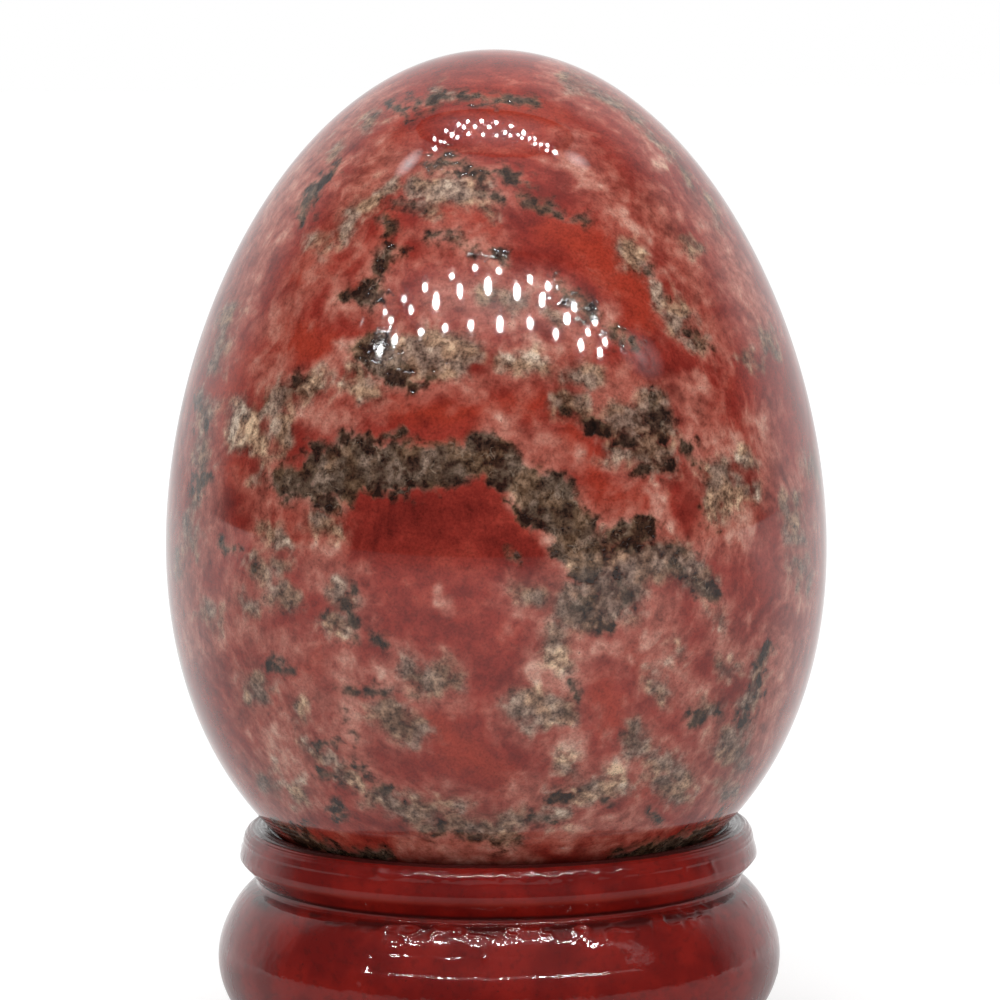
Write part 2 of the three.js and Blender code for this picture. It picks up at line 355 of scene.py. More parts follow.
def make_egg():
    low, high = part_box("stone_egg")
    height = high[2] - low[2]
    widest = (high[0] - low[0]) / 2
    stations = -np.cos(np.linspace(0, math.pi, EGG_RINGS + 2)[1:-1])
    radii = widest * egg_section(stations)
    heights = low[2] + (stations + 1) * height / 2
    turns = np.arange(EGG_ROUND) * 2 * math.pi / EGG_ROUND
    angles = FRONT + turns - FRONT_DENSITY * np.sin(turns)
    rings = np.repeat(heights[:, None], EGG_ROUND, 1)
    grid = np.stack([radii[:, None] * np.cos(angles), radii[:, None] * np.sin(angles), rings], -1)
    egg = ring_mesh("polished_egg", grid, (low[2], high[2]))
    mesh = egg.data
    points = vertex_vectors(mesh, "co")
    towards = np.array(CAMERA_PLACE) - points
    towards /= np.linalg.norm(towards, axis=1)[:, None]
    facing = (vertex_vectors(mesh, "normal") * towards).sum(1)
    store(mesh, "seen", eased(np.clip((facing - SEEN_FROM) / SEEN_OVER, 0, 1)))
    pixels = photo_pixels(points)
    for index, (reach, period) in enumerate(RAGGED):
        for axis in (0, 1):
            seed = RAGGED_SEED + 2 * index + axis
            pixels[:, axis] += reach * lumps(points / MM, period, seed)
    for name, patches in (
        ("dark", DARK_CLOTS_AND_RIM_SHADE),
        ("black", BLACK_SPOTS),
        ("veil", VEIL_PATCHES),
        ("grey", GREY_PATCHES),
        ("beige", BEIGE_PATCHES),
        ("pink", PINK_PATCHES_AND_SHEEN),
        ("bright", BRIGHT_RED),
        ("deep", DEEP_RED),
    ):
        store(mesh, name, depth_inside(pixels, patches))
    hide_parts("stone_egg")
    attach(egg, "egg")
    egg.data.materials.append(stone_material())


class Recipe:
    """Builds the nodes of a material or the world. Inputs are numbers, colours or other nodes' sockets."""

    def __init__(self, owner, shader="Principled BSDF"):
        self.owner = owner
        owner.use_nodes = True
        self.tree = owner.node_tree
        self.shader = self.tree.nodes[shader]

    def node(self, kind, inputs=(), **settings):
        node = self.tree.nodes.new("ShaderNode" + kind)
        for key, value in settings.items():
            setattr(node, key, value)
        for key, value in dict(inputs).items():
            self.connect(node.inputs[key], value)
        return node

    def connect(self, socket, value):
        if isinstance(value, bpy.types.NodeSocket):
            self.tree.links.new(value, socket)
        else:
            socket.default_value = value

    def finish(self, inputs):
        """Sets the shader's own inputs, and gives what the nodes belong to."""
        for key, value in inputs.items():
            self.connect(self.shader.inputs[key], value)
        return self.owner

    def math(self, operation, first, second=0.0, third=0.0):
        return self.node("Math", {0: first, 1: second, 2: third}, operation=operation).outputs[0]

    def vector(self, operation, first, second):
        return self.node("VectorMath", {0: first, 1: second}, operation=operation).outputs[0]

    def attribute(self, name):
        return self.node("Attribute", attribute_name=name).outputs["Fac"]

    def millimetres(self):
        return self.vector("MULTIPLY", self.node("TexCoord").outputs["Object"], (1000.0, 1000.0, 1000.0))

    def noise(self, place, scale, detail=2.0, roughness=0.5, output="Fac"):
        inputs = {"Vector": place, "Scale": scale, "Detail": detail, "Roughness": roughness}
        return self.node("TexNoise", inputs).outputs[output]

    def swirl(self, place, scale, reach):
        """A place moved about by noise, to bend what is drawn there."""
        colour = self.noise(place, scale, 2.0, 0.5, "Color")
        move = self.vector("SUBTRACT", colour, (0.5, 0.5, 0.5))
        return self.vector("ADD", place, self.vector("MULTIPLY", move, (reach, reach, reach)))

    def step(self, value, low, high, to_low=0.0, to_high=1.0):
        """A smooth rise from one level to another as the value goes from low to high."""
        inputs = {"Value": value, "From Min": low, "From Max": high, "To Min": to_low, "To Max": to_high}
        return self.node("MapRange", inputs, interpolation_type="SMOOTHSTEP").outputs[0]

    def blend(self, share, first, second, mode="MIX"):
        inputs = {"Factor": share, 6: first, 7: second}
        return self.node("Mix", inputs, data_type="RGBA", blend_type=mode).outputs[2]

    def ruffled(self, value, *layers):
        """A value moved by noises; each layer is a noise and how far it can move the value."""
        for noise, reach in layers:
            value = self.math("MULTIPLY_ADD", self.math("SUBTRACT", noise, 0.5), reach, value)
        return value

    def shifted(self, value, *layers):
        """A value moved by shares; each layer is a share and how far the whole of it moves the value."""
        for share, reach in layers:
            value = self.math("MULTIPLY_ADD", share, reach, value)
        return value

    def ramp(self, value, stops):
        """Colours along a value from 0 to 1. The first and last stop are its ends."""
        node = self.node("ValToRGB", {"Fac": value})
        points = node.color_ramp.elements
        for place, _ in stops[1:-1]:
            points.new(place)
        for point, (_, colour) in zip(points, stops):
            point.color = srgb(*colour)
        return node.outputs["Color"]


def srgb(red, green, blue):
    """A colour given as it looks on screen, from 0 to 255."""
    linear = [((c / 255 + 0.055) / 1.055) ** 2.4 if c > 10 else c / 3295 for c in (red, green, blue)]
    return (*linear, 1.0)


# The stone's colours as they look on screen, each with its place from dark to light
REDS = [
    (0.0, (104, 28, 22)), (0.28, (126, 38, 30)), (0.50, (142, 48, 38)),
    (0.68, (158, 62, 49)), (0.84, (172, 86, 72)), (1.0, (184, 110, 96)),
]
VEILS = [
    (0.0, (98, 55, 47)), (0.25, (140, 75, 63)), (0.50, (171, 96, 82)),
    (0.75, (187, 123, 107)), (1.0, (206, 160, 142)),
]
MINERALS = [
    (0.0, (30, 20, 14)), (0.18, (54, 41, 31)), (0.38, (84, 69, 56)),
    (0.58, (118, 98, 85)), (0.80, (158, 132, 114)), (1.0, (202, 177, 156)),
]
WARM_TINT = (1.05, 1.0, 0.85, 1)
COOL_TINT = (0.91, 1.0, 1.02, 1)
LAYERING = (1.0, 2.2, 1.0)  # the stone's layers lie across Y, so it changes fastest that way


def stone_material():
    """Red stone veiled with pink, with beige and grey minerals, dark veins, black spots and flecks, and
    painted shade where the egg sits in the rim, a painted highlight streak and pale vein lines that are
    partly painted glints.
    """
    stone = Recipe(bpy.data.materials.new("polished_stone"))
    place = stone.millimetres()
    layered = stone.vector("MULTIPLY", stone.swirl(stone.swirl(place, 0.12, 6.0), 0.6, 1.2), LAYERING)
    flow = stone.noise(layered, 0.20, 5.0, 0.62)
    streaks = stone.noise(layered, 0.60, 2.5, 0.55)
    blots = stone.noise(place, 0.85, 1.5, 0.5)
    small = stone.noise(stone.swirl(place, 1.5, 0.5), 2.0, 1.5, 0.5)
    grain = stone.noise(place, 7.0, 2.0, 0.65)
    seen = stone.attribute("seen")

    def shape(name, offset, threshold):
        """A patch's depth: as placed where the photograph shows it, and by noise on the other sides."""
        wild = stone.noise(stone.vector("ADD", layered, offset), 0.16, 4.0, 0.56)
        wild = stone.math("MULTIPLY", stone.math("SUBTRACT", wild, threshold), WILD_REACH)
        kept = stone.math("MULTIPLY", stone.attribute(name), seen)
        return stone.math("MULTIPLY_ADD", wild, stone.math("SUBTRACT", 1.0, seen), kept)

    def share(depth, low, high, most, *layers):
        return stone.step(stone.ruffled(depth, *layers), low, high, 0.0, most)

    # The dark patches include painted shade on the egg along the rim, besides the stone's veins.
    dark = shape("dark", (0.0, 0.0, 0.0), 0.64)
    black = shape("black", (0.0, 0.0, 0.0), 0.70)
    veil = shape("veil", (13.0, 29.0, 0.0), 0.54)
    grey = shape("grey", (31.0, 0.0, 7.0), 0.60)
    beige = shape("beige", (0.0, 47.0, 3.0), 0.61)
    pink = shape("pink", (9.0, 5.0, 61.0), 0.59)
    bright = shape("bright", (71.0, 3.0, 0.0), 0.58)
    deep = shape("deep", (0.0, 83.0, 19.0), 0.60)

    tone = stone.ruffled(0.46, (flow, 1.2), (streaks, 0.9), (blots, 0.5))
    deep_share = share(deep, -0.8, 0.8, 1.0, (blots, 1.5))
    red = stone.ramp(stone.shifted(tone, (deep_share, -0.20)), REDS)
    bright_share = share(bright, -0.8, 0.8, 0.75, (blots, 2.0))
    red = stone.blend(bright_share, red, srgb(158, 54, 36))

    veil_share = share(veil, -1.4, 1.0, 0.92, (streaks, 2.2), (blots, 1.6))
    # Pink patches lighten the stone; one of them is a painted highlight.
    pink_and_sheen_share = share(pink, -0.5, 0.5, 0.90, (blots, 1.8))
    mottle = stone.ruffled(0.50, (streaks, 0.9), (blots, 0.9), (small, 0.5))
    mottle = stone.shifted(mottle, (pink_and_sheen_share, 0.24), (deep_share, -0.22))
    colour = stone.blend(stone.math("MAXIMUM", veil_share, pink_and_sheen_share), red, stone.ramp(mottle, VEILS))

    beige_share, grey_share = [
        share(depth, -0.5, 0.5, 0.85, (streaks, 1.2), (blots, 1.8), (small, 0.4)) for depth in (beige, grey)
    ]
    dark = stone.ruffled(dark, (streaks, -0.8), (blots, -1.0), (small, -1.0))
    dark_share = share(dark, -0.36, 0.28, 0.93)
    rim = stone.math("SUBTRACT", share(dark, -0.30, 0.05, 1.0), share(dark, 0.20, 0.75, 1.0))
    black_share = share(black, -0.30, 0.30, 0.95, (blots, -1.2), (small, -1.4))
    shade = stone.shifted(0.49, (beige_share, 0.16), (dark_share, -0.11), (rim, -0.05))
    shade = stone.shifted(shade, (black_share, -0.22), (pink_and_sheen_share, 0.26))
    shade = stone.ruffled(shade, (streaks, 0.6), (blots, 0.6), (small, 0.9))
    mineral = stone.ramp(shade, MINERALS)
    tint = stone.blend(stone.step(stone.noise(place, 0.6), 0.42, 0.58), WARM_TINT, COOL_TINT)
    mineral = stone.blend(1.0, mineral, tint, "MULTIPLY")
    # Pale lines in the dark veins: partly the stone's own veinlets, partly painted glints.
    veinlet_and_glint = stone.noise(stone.swirl(place, 0.9, 1.0), 1.1)
    veinlet_and_glint = stone.math("ABSOLUTE", stone.math("SUBTRACT", veinlet_and_glint, 0.5))
    veinlet_and_glint = stone.math("MULTIPLY", stone.step(veinlet_and_glint, 0.030, 0.0, 0.0, 0.40), stone.step(blots, 0.46, 0.60))
    veinlet_and_glint = stone.math("MULTIPLY", veinlet_and_glint, dark_share)
    mineral = stone.blend(veinlet_and_glint, mineral, srgb(158, 140, 122))
    mineral_share = stone.math("MAXIMUM", stone.math("MAXIMUM", beige_share, grey_share), dark_share)
    mineral_share = stone.math("MAXIMUM", mineral_share, black_share)
    colour = stone.blend(mineral_share, colour, mineral)

    grit = stone.ruffled(0.0, (small, 0.8), (grain, 1.6))
    grit = stone.math("MULTIPLY_ADD", grit, stone.math("MULTIPLY_ADD", mineral_share, 1.0, 0.8), 1.0)
    grit = stone.math("MAXIMUM", grit, 0.25)
    grit = stone.node("CombineColor", {0: grit, 1: grit, 2: grit}).outputs[0]
    colour = stone.blend(1.0, colour, grit, "MULTIPLY")
    flecks = stone.step(stone.ruffled(grain, (small, 0.5)), 0.66, 0.76)
    busy = stone.math("MAXIMUM", veil_share, mineral_share)
    flecks = stone.math("MULTIPLY", flecks, stone.math("MULTIPLY_ADD", busy, 0.50, 0.22))
    colour = stone.blend(flecks, colour, srgb(58, 40, 34))

    pits = stone.math("MULTIPLY", stone.step(small, 0.42, 0.34), dark_share)
    relief = stone.math("MULTIPLY", pits, -1.0)
    bump = stone.node("Bump", {"Height": relief, "Distance": 0.00002, "Strength": 0.3})
    return stone.finish({
        "Base Color": colour,
        "Roughness": stone.step(dark_share, 0.0, 1.0, 0.045, 0.06),
        "IOR": 1.54,
        "Normal": bump.outputs[0],
    })


def arc(centre, size, start, end, steps=24):
    """Points of an elliptical arc in the section, between two angles in degrees."""
    angles = np.radians(np.linspace(start, end, steps))
    return np.stack([centre[0] + size[0] * np.cos(angles), centre[1] + size[1] * np.sin(angles)], -1)


# Radii and heights of the stand's mouldings, in millimetres
BORE = SEAT_RADIUS - SEAT_LEDGE
NECK = BORE + NECK_WALL
FOOT = NECK + FOOT_PROUD
RIM = NECK + RIM_PROUD
BEAD_EDGE = NECK + BEAD_LEDGE
FOOT_TOP = FOOT_FACE + FOOT_BEVEL
BEAD_BOTTOM = FOOT_TOP + NECK_HEIGHT
BEAD_HALF = math.sqrt(BEAD_SECTION**2 - (BEAD_SECTION - BEAD_PROUD) ** 2)
BEAD_TOP = BEAD_BOTTOM + 2 * BEAD_HALF
RIM_BOTTOM = BEAD_TOP + NECK_HEIGHT
FACE_BOTTOM = RIM_BOTTOM + RIM_CHAMFER
TOP = FACE_BOTTOM + RIM_FACE
SEAT_EDGE = SEAT_RADIUS + SEAT_DROP / SEAT_SLOPE
POOL_RISE = 0.4  # how far lacquer climbs the groove above the bead
POOL_ANGLE = 5.0  # and down the bead, in degrees of its round


def stand_section():
    """The stand's closed section, from its foot up the outside and down the bore."""
    edge = (EDGE_ROUND, EDGE_ROUND)
    bead = (BEAD_EDGE + BEAD_PROUD - BEAD_SECTION, BEAD_BOTTOM + BEAD_HALF)
    reach = math.degrees(math.asin(BEAD_HALF / BEAD_SECTION))
    rim_round = (RIM_ROUND_WIDTH, RIM_ROUND_HEIGHT)
    parts = [
        [(BORE + BORE_CHAMFER, 0)],
        arc((FOOT - EDGE_ROUND, EDGE_ROUND), edge, -90, 0),
        arc((FOOT - EDGE_ROUND, FOOT_FACE - EDGE_ROUND), edge, 0, 70),
        [(NECK, FOOT_TOP), (NECK, BEAD_BOTTOM)],
        arc(bead, (BEAD_SECTION, BEAD_SECTION), -reach, reach - POOL_ANGLE, 120),
        [(NECK, BEAD_TOP + POOL_RISE), (NECK, RIM_BOTTOM)],
        arc((RIM - EDGE_ROUND, FACE_BOTTOM + EDGE_ROUND), edge, -45, 0),
        arc((RIM - RIM_TAPER - RIM_ROUND_WIDTH, TOP - RIM_ROUND_HEIGHT), rim_round, 0, 90),
        [(SEAT_EDGE, TOP), (BORE, TOP - SEAT_DROP - SEAT_LEDGE * SEAT_SLOPE), (BORE, BORE_CHAMFER)],
    ]
    return np.concatenate([np.array(part, float) for part in parts])


def resampled(section, spacing):
    """The closed section with its points spread at an even spacing."""
    closed = np.vstack([section, section[:1]])
    lengths = np.concatenate([[0], np.cumsum(np.linalg.norm(np.diff(closed, axis=0), axis=1))])
    places = np.arange(0, lengths[-1], spacing)
    return np.stack([np.interp(places, lengths, closed[:, axis]) for axis in (0, 1)], -1)


def softened(section, reach, spacing):
    """The section with its corners rounded, as lacquer rounds them."""
    count = max(1, round(reach / spacing))
    weights = np.hanning(2 * count + 3)[1:-1]
    weights /= weights.sum()
    padded = np.concatenate([section[-count:], section, section[:count]])
    return np.stack([np.convolve(padded[:, axis], weights, "valid") for axis in (0, 1)], -1)


def waves(angles, along, period, seed, stretch=1.0):
    """Smooth noise over the stand's surface, from -1 to 1, that closes round the axis."""
    random = np.random.default_rng(seed)
    columns = max(4, round(2 * math.pi * ROUND_RADIUS / (period * stretch)))
    rows = math.ceil(along.max() / period) + 3
    values = random.uniform(-1, 1, (rows, columns))
    across = angles / (2 * math.pi) * columns
    up = along / period
    column = np.floor(across).astype(int)
    row = np.floor(up).astype(int)
    right = eased(across - column)[None, :]
    rise = eased(up - row)[:, None]
    after = (column + 1) % columns
    column = column % columns
    low = values[np.ix_(row, column)] * (1 - right) + values[np.ix_(row, after)] * right
    high = values[np.ix_(row + 1, column)] * (1 - right) + values[np.ix_(row + 1, after)] * right
    return low * (1 - rise) + high * rise


def bell(values, middle, width):
    """A smooth hump of height 1."""
    return np.exp(-(((values - middle) / width) ** 2))


# Lacquer, in millimetres. Each REACH is in radians from the front, and so is WRINKLED_MIDDLE.
SWELL = 0.010  # slow waves all over
FRONT_REACH = 0.62
SHOULDER_MIDDLE = BEAD_TOP - 0.05
SHOULDER = (0.16, 0.28)  # how full it is over the bead's shoulder all round, and what the front adds
SHOULDER_SPREAD = (1.0, 0.4)  # how far that fullness goes down, and up
POOL_MIDDLE = BEAD_TOP + 0.05  # where it pooled and wrinkled in the groove above the bead
POOL_SPREAD = 0.42
WRINKLE_HEIGHTS = (0.02, 0.13)  # the pool's own, and what a wrinkle adds
WRINKLED_MIDDLE = 0.15
WRINKLED_REACH = 0.80
RUN_LINES = [(8.1, 0.016, 1.7), (9.1, 0.016, 0.3)]  # runs set on the bead: height, depth, evenness
RUN_SEED = 12
RUN_REACH = 0.50
RIM_WAVE = TOP - 0.38  # where the rim's round edge ripples
RIM_WAVE_HEIGHT = 0.070
RIM_WAVE_SPREAD = 0.35
RIM_LEAN = 0.08  # how much thinner it is at the rim's top
RIDGE_PERIOD = 0.32  # of the turning marks that show through
TOP_RIDGE = 0.018
EDGE_RIDGE = 0.012


def from_front(angles):
    """Angles from the front, from -pi to pi."""
    return (angles - FRONT + math.pi) % (2 * math.pi) - math.pi


def wrinkle_cells(angles, along):
    """Noise whose zero lines are the wrinkles of the lacquer that pooled above the bead."""
    return waves(angles, along, 0.55, 5, 1.8) + 0.3 * waves(angles, along, 0.33, 6, 1.5)


def wavering(angles, *layers):
    """A line that wanders round the axis; each layer is a reach, a period and a seed."""
    return sum(reach * waves(angles, np.zeros(1), period, seed) for reach, period, seed in layers)


def lacquer(angles, heights, radii, along):
    """How far the lacquer stands out from the turned section, in millimetres, row by angle."""
    turn = from_front(angles)[None, :]
    column = heights[:, None]
    front = np.exp(-((turn / FRONT_REACH) ** 4))
    on_bead = ((radii > NECK - 0.2) & (heights < RIM_BOTTOM - 0.2))[:, None]
    on_rim = ((radii > NECK) & (heights > RIM_BOTTOM))[:, None]
    body = SWELL * waves(angles, along, 3.1, 1)
    spread = np.where(column < SHOULDER_MIDDLE, *SHOULDER_SPREAD)
    fullness = SHOULDER[0] + SHOULDER[1] * front
    shoulder = on_bead * fullness * bell(column, SHOULDER_MIDDLE, spread)
    wrinkled = np.exp(-(((turn - WRINKLED_MIDDLE) / WRINKLED_REACH) ** 8))
    curls = bell(wrinkle_cells(angles, along), 0.0, 0.30)
    curled = WRINKLE_HEIGHTS[0] + WRINKLE_HEIGHTS[1] * wrinkled * curls
    wrinkles = on_bead * bell(column, POOL_MIDDLE, POOL_SPREAD) * curled
    runs = 0
    for index, (height, depth, evenness) in enumerate(RUN_LINES):
        seed = RUN_SEED + 3 * index
        line = height + wavering(angles, (0.06, 2.4, seed), (0.05, 0.8, seed + 1))
        share = np.clip(evenness + wavering(angles, (0.9, 1.3, seed + 2)), 0, 1)
        runs = runs - depth * share * (1 + np.tanh((column - line) / 0.05))
    runs = runs * on_bead * np.exp(-((turn / RUN_REACH) ** 4))
    ripples = waves(angles, along, 0.55, 3, 1.7) + 0.6 * waves(angles, along, 0.3, 4, 1.5)
    rim_waves = RIM_WAVE_HEIGHT * front * on_rim * bell(column, RIM_WAVE, RIM_WAVE_SPREAD) * ripples
    rim_waves = rim_waves - RIM_LEAN * on_rim * np.clip((column - FACE_BOTTOM) / RIM_FACE, 0, 1)
    flat_top = ((heights > TOP - 0.12) & (radii > SEAT_EDGE) & (radii < 14.5))[:, None]
    rim_edge = ((heights > TOP - 0.85) & (radii > SEAT_EDGE))[:, None] * (1 - front)
    marks = np.sin(2 * math.pi * along / RIDGE_PERIOD)[:, None]
    ridges = (TOP_RIDGE * flat_top + EDGE_RIDGE * rim_edge) * marks
    outside = (radii > SEAT_EDGE).astype(float)[:, None]
    return outside * (body + shoulder + wrinkles + runs + rim_waves) + ridges


NIB_COUNT = 90
NIB_SIZES = (0.10, 0.22)
NIB_HEIGHTS = (0.02, 0.05)
NIB_SEED = 11
NIB_BOTTOM = 3.2
# Larger ones: degrees from the front, height, size and how proud they stand
BLEMISHES = [(-28.5, 8.0, 0.42, 0.09), (-27.0, 13.6, 0.35, 0.07)]


def nibs(angles, heights, radii):
    """Dust nibs set in the lacquer, and two larger blemishes left of the front."""
    random = np.random.default_rng(NIB_SEED)
    spots = [
        (
            random.uniform(0, 2 * math.pi),
            random.uniform(NIB_BOTTOM, TOP),
            random.uniform(*NIB_SIZES),
            random.uniform(*NIB_HEIGHTS),
        )
        for _ in range(NIB_COUNT)
    ]
    spots += [(FRONT + math.radians(turn), height, size, proud) for turn, height, size, proud in BLEMISHES]
    total = np.zeros((len(heights), len(angles)))
    for turn, height, size, proud in spots:
        apart = (angles - turn + math.pi) % (2 * math.pi) - math.pi
        across = ROUND_RADIUS * apart[None, :] / size
        up = (heights[:, None] - height) / size
        total += proud * np.exp(-(across**2) - up**2) * (radii > 13.8)[:, None]
    return total


def stand_rows(section):
    """Rows of the section, closest where the lacquer is most wrinkled and far apart inside."""
    radii, heights = section[:, 0], section[:, 1]
    need = 1.0 + 3.2 * bell(heights, POOL_MIDDLE, 0.6) * (radii > 13.7)
    need += 3.2 * ((heights > TOP - 1.0) & (radii > 13.1))
    for height, _, _ in RUN_LINES:
        need += 3.0 * bell(heights, height, 0.25) * (radii > 14.8)
    need *= np.where(radii < 12.9, 0.25, 1.0)
    need *= np.where(heights < 2.4, 0.6, 1.0)
    filled = np.concatenate([[0], np.cumsum(need)])
    picks = np.searchsorted(filled, np.linspace(0, filled[-1], STAND_ROWS, endpoint=False))
    return np.unique(np.clip(picks, 0, len(section) - 1))


def make_stand():
    section = softened(resampled(stand_section(), SECTION_STEP), CORNER_ROUND, SECTION_STEP)
    rows = stand_rows(section)
    slope = np.roll(section, -3, 0) - np.roll(section, 3, 0)
    outward = np.stack([slope[:, 1], -slope[:, 0]], -1)
    outward /= np.linalg.norm(outward, axis=1)[:, None]
    radii, heights = section[rows].T
    out_radius, out_height = outward[rows].T
    turns = np.arange(STAND_ROUND) * 2 * math.pi / STAND_ROUND
    angles = FRONT + turns - STAND_DENSITY * np.sin(turns)
    along = rows * SECTION_STEP
    proud = lacquer(angles, heights, radii, along) + nibs(angles, heights, radii)
    across = radii[:, None] + out_radius[:, None] * proud
    up = np.maximum(heights[:, None] + out_height[:, None] * proud, 0)
    grid = np.stack([across * np.cos(angles), across * np.sin(angles), up], -1) * MM
    stand = ring_mesh("lacquered_stand", grid, None)
    # Worn along the edges of the rim and the foot, dark where lacquer pooled in the grooves, painted shade
    # on the rim's top and in the seat under the egg, and bare inside and underneath
    edges = bell(heights, FACE_BOTTOM + 0.03, 0.13) * (radii > 14.6)
    edges = edges + (bell(heights, FOOT_FACE, 0.14) + 0.8 * bell(heights, 0.1, 0.15)) * (radii > 15.1)
    pools_and_seat_shade = bell(heights, POOL_MIDDLE, 0.30) + bell(heights, FOOT_TOP + 0.1, 0.25)
    # The second term paints shade on the rim's top and in the seat, where the egg sits.
    pools_and_seat_shade = pools_and_seat_shade * (radii > 13) * (radii < 14.9) + (heights > RIM_BOTTOM) * (radii < 14.1)
    inside = np.clip(0.5 - 1.5 * wrinkle_cells(angles, along), 0.2, 1)
    bare = (radii < 12.5) | (heights < 0.05)
    for name, values in (("edge", edges), ("bare", bare)):
        store(stand.data, name, np.repeat(np.clip(values, 0, 1), STAND_ROUND))
    pooled_and_seat_shade = np.where((heights > RIM_BOTTOM)[:, None], 1.0, inside) * np.clip(pools_and_seat_shade, 0, 1)[:, None]
    store(stand.data, "pool_and_seat_shade", pooled_and_seat_shade.ravel())
    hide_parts("turned_stand")
    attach(stand, "stand")
    stand.data.materials.append(lacquer_material())


def lacquer_material():
    """Wood stained dark red under thick clear lacquer, thin on its edges and dark where it pools, with
    painted shade on the rim's top and in the seat under the egg.
    """
    wood = Recipe(bpy.data.materials.new("lacquered_wood"))
    place = wood.millimetres()
    fibres = wood.noise(wood.vector("MULTIPLY", place, (1.0, 0.12, 1.0)), 2.2, 4.0, 0.6)
    clouds = wood.noise(place, 0.35, 3.0, 0.55)
    specks = wood.noise(place, 4.5, 2.0, 0.5)
    colour = wood.blend(wood.step(clouds, 0.35, 0.65), srgb(106, 13, 9), srgb(130, 22, 14))
    colour = wood.blend(wood.step(fibres, 0.50, 0.68, 0.0, 0.35), colour, srgb(66, 12, 10))
    colour = wood.blend(wood.step(specks, 0.70, 0.76, 0.0, 0.6), colour, srgb(48, 12, 10))
    worn = wood.math("MULTIPLY", wood.attribute("edge"), wood.step(clouds, 0.2, 0.6, 0.45, 1.0))
    colour = wood.blend(worn, colour, srgb(146, 48, 38))
    # Near black where lacquer pooled in the grooves, and painted shade on the rim's top and in the seat.
    colour = wood.blend(wood.math("MULTIPLY", wood.attribute("pool_and_seat_shade"), 0.85), colour, srgb(44, 9, 9))
    bare = wood.attribute("bare")
    raw = wood.blend(wood.step(fibres, 0.40, 0.62), srgb(96, 40, 30), srgb(124, 62, 46))
    colour = wood.blend(wood.math("MULTIPLY", bare, 0.85), colour, raw)
    thin = wood.math("MAXIMUM", bare, wood.math("MULTIPLY", wood.attribute("edge"), 0.9))
    ripples = wood.noise(place, 1.1, 3.0, 0.55)
    bump = wood.node("Bump", {"Height": ripples, "Distance": 0.00006, "Strength": 0.4})
    pores = wood.node("Bump", {"Height": fibres, "Distance": 0.00005, "Strength": 0.4})
    return wood.finish({
        "Base Color": colour,
        "Roughness": wood.step(bare, 0.0, 1.0, 0.5, 0.65),
        "Specular IOR Level": 0.05,
        "Coat Weight": wood.step(thin, 0.0, 1.0, 1.0, 0.1),
        "Coat Roughness": 0.035,
        "Coat IOR": 1.38,
        "Coat Normal": bump.outputs[0],
        "Normal": pores.outputs[0],
    })


def plain_mesh(name, vertices, faces, material):
    """A mesh of the stage, from points in millimetres."""
    mesh = bpy.data.meshes.new(name)
    mesh.from_pydata([tuple(c * MM for c in vertex) for vertex in vertices], [], faces)
    mesh.materials.append(material)
    thing = linked(name, mesh)
    return thing


FLOOR_HALF = 1500.0
FLOOR_GLOW = (0.45, 0.72)  # makes the lit floor white to the eye: beside the object, and far from it
GLOW_REACH = (60.0, 400.0)  # millimetres from the object over which that glow grows
SHEET_EDGE = (0.0, 60.0)  # millimetres behind the object over which the glow starts to show in its gloss


def make_floor():
    floor = Recipe(bpy.data.materials.new("pale_floor"))
    path = floor.node("LightPath").outputs
    place = floor.millimetres()
    away = floor.node("VectorMath", {0: place}, operation="LENGTH").outputs["Value"]
    depth = floor.node("SeparateXYZ", {0: place}).outputs["Y"]
    glow = floor.step(away, *GLOW_REACH, *FLOOR_GLOW)
    mirrored = floor.math("MULTIPLY", path["Is Glossy Ray"], floor.step(depth, *SHEET_EDGE, 0.0, 0.7))
    direct = floor.math("ADD", path["Is Camera Ray"], path["Is Transmission Ray"])
    seen = floor.math("MAXIMUM", direct, mirrored)
    floor.finish({
        "Base Color": (0.66, 0.66, 0.66, 1),
        "Roughness": 0.9,
        "Specular IOR Level": 0.0,
        "Emission Color": (1, 1, 1, 1),
        "Emission Strength": floor.math("MULTIPLY", seen, glow),
    })
    corners = [(x * FLOOR_HALF, y * FLOOR_HALF, 0) for x, y in ((-1, -1), (1, -1), (1, 1), (-1, 1))]
    plain_mesh("floor", corners, [(0, 1, 2, 3)], floor.owner)


ROOM_LIGHT = 0.5  # what the surroundings give to dull surfaces
ROOM_FRONT = 0.07  # how bright the room in front of the object looks in its gloss
ROOM_BEHIND = 0.92
ROOM_OVERHEAD = 0.75
BEHIND_EDGE = (0.12, 0.60)  # the share of a direction that points back over which that light grows
OVERHEAD_EDGE = (0.70, 1.00)  # and the share that points up


def make_world():
    """White to the eye, plain light on dull surfaces; in gloss a dim room, lighter behind and overhead."""
    room = Recipe(bpy.data.worlds.new("studio"), "Background")
    bpy.context.scene.world = room.owner
    path = room.node("LightPath").outputs
    direction = room.node("SeparateXYZ", {0: room.node("TexCoord").outputs["Generated"]}).outputs
    behind = room.step(direction["Y"], *BEHIND_EDGE, ROOM_FRONT, ROOM_BEHIND)
    overhead = room.step(direction["Z"], *OVERHEAD_EDGE, 0.0, ROOM_OVERHEAD)
    level = ROOM_LIGHT
    for ray, value in (
        ("Is Glossy Ray", room.math("MAXIMUM", behind, overhead)),
        ("Is Transmission Ray", 1.0),
        ("Is Camera Ray", 1.0),
    ):
        level = room.node("Mix", {"Factor": path[ray], 2: level, 3: value}).outputs[0]
    room.finish({"Color": (1, 1, 1, 1), "Strength": level})


# Soft lamps: name, place and size in metres, and power in watts
LAMPS = [
    ("key", (-0.08, -0.34, 0.46), 0.36, 1.15),
    ("fill", (0.34, -0.30, 0.22), 0.30, 0.35),
    ("top", (0.0, 0.05, 0.45), 0.36, 0.65),
]
LAMP_AIM = Vector((0, 0, 0.03))


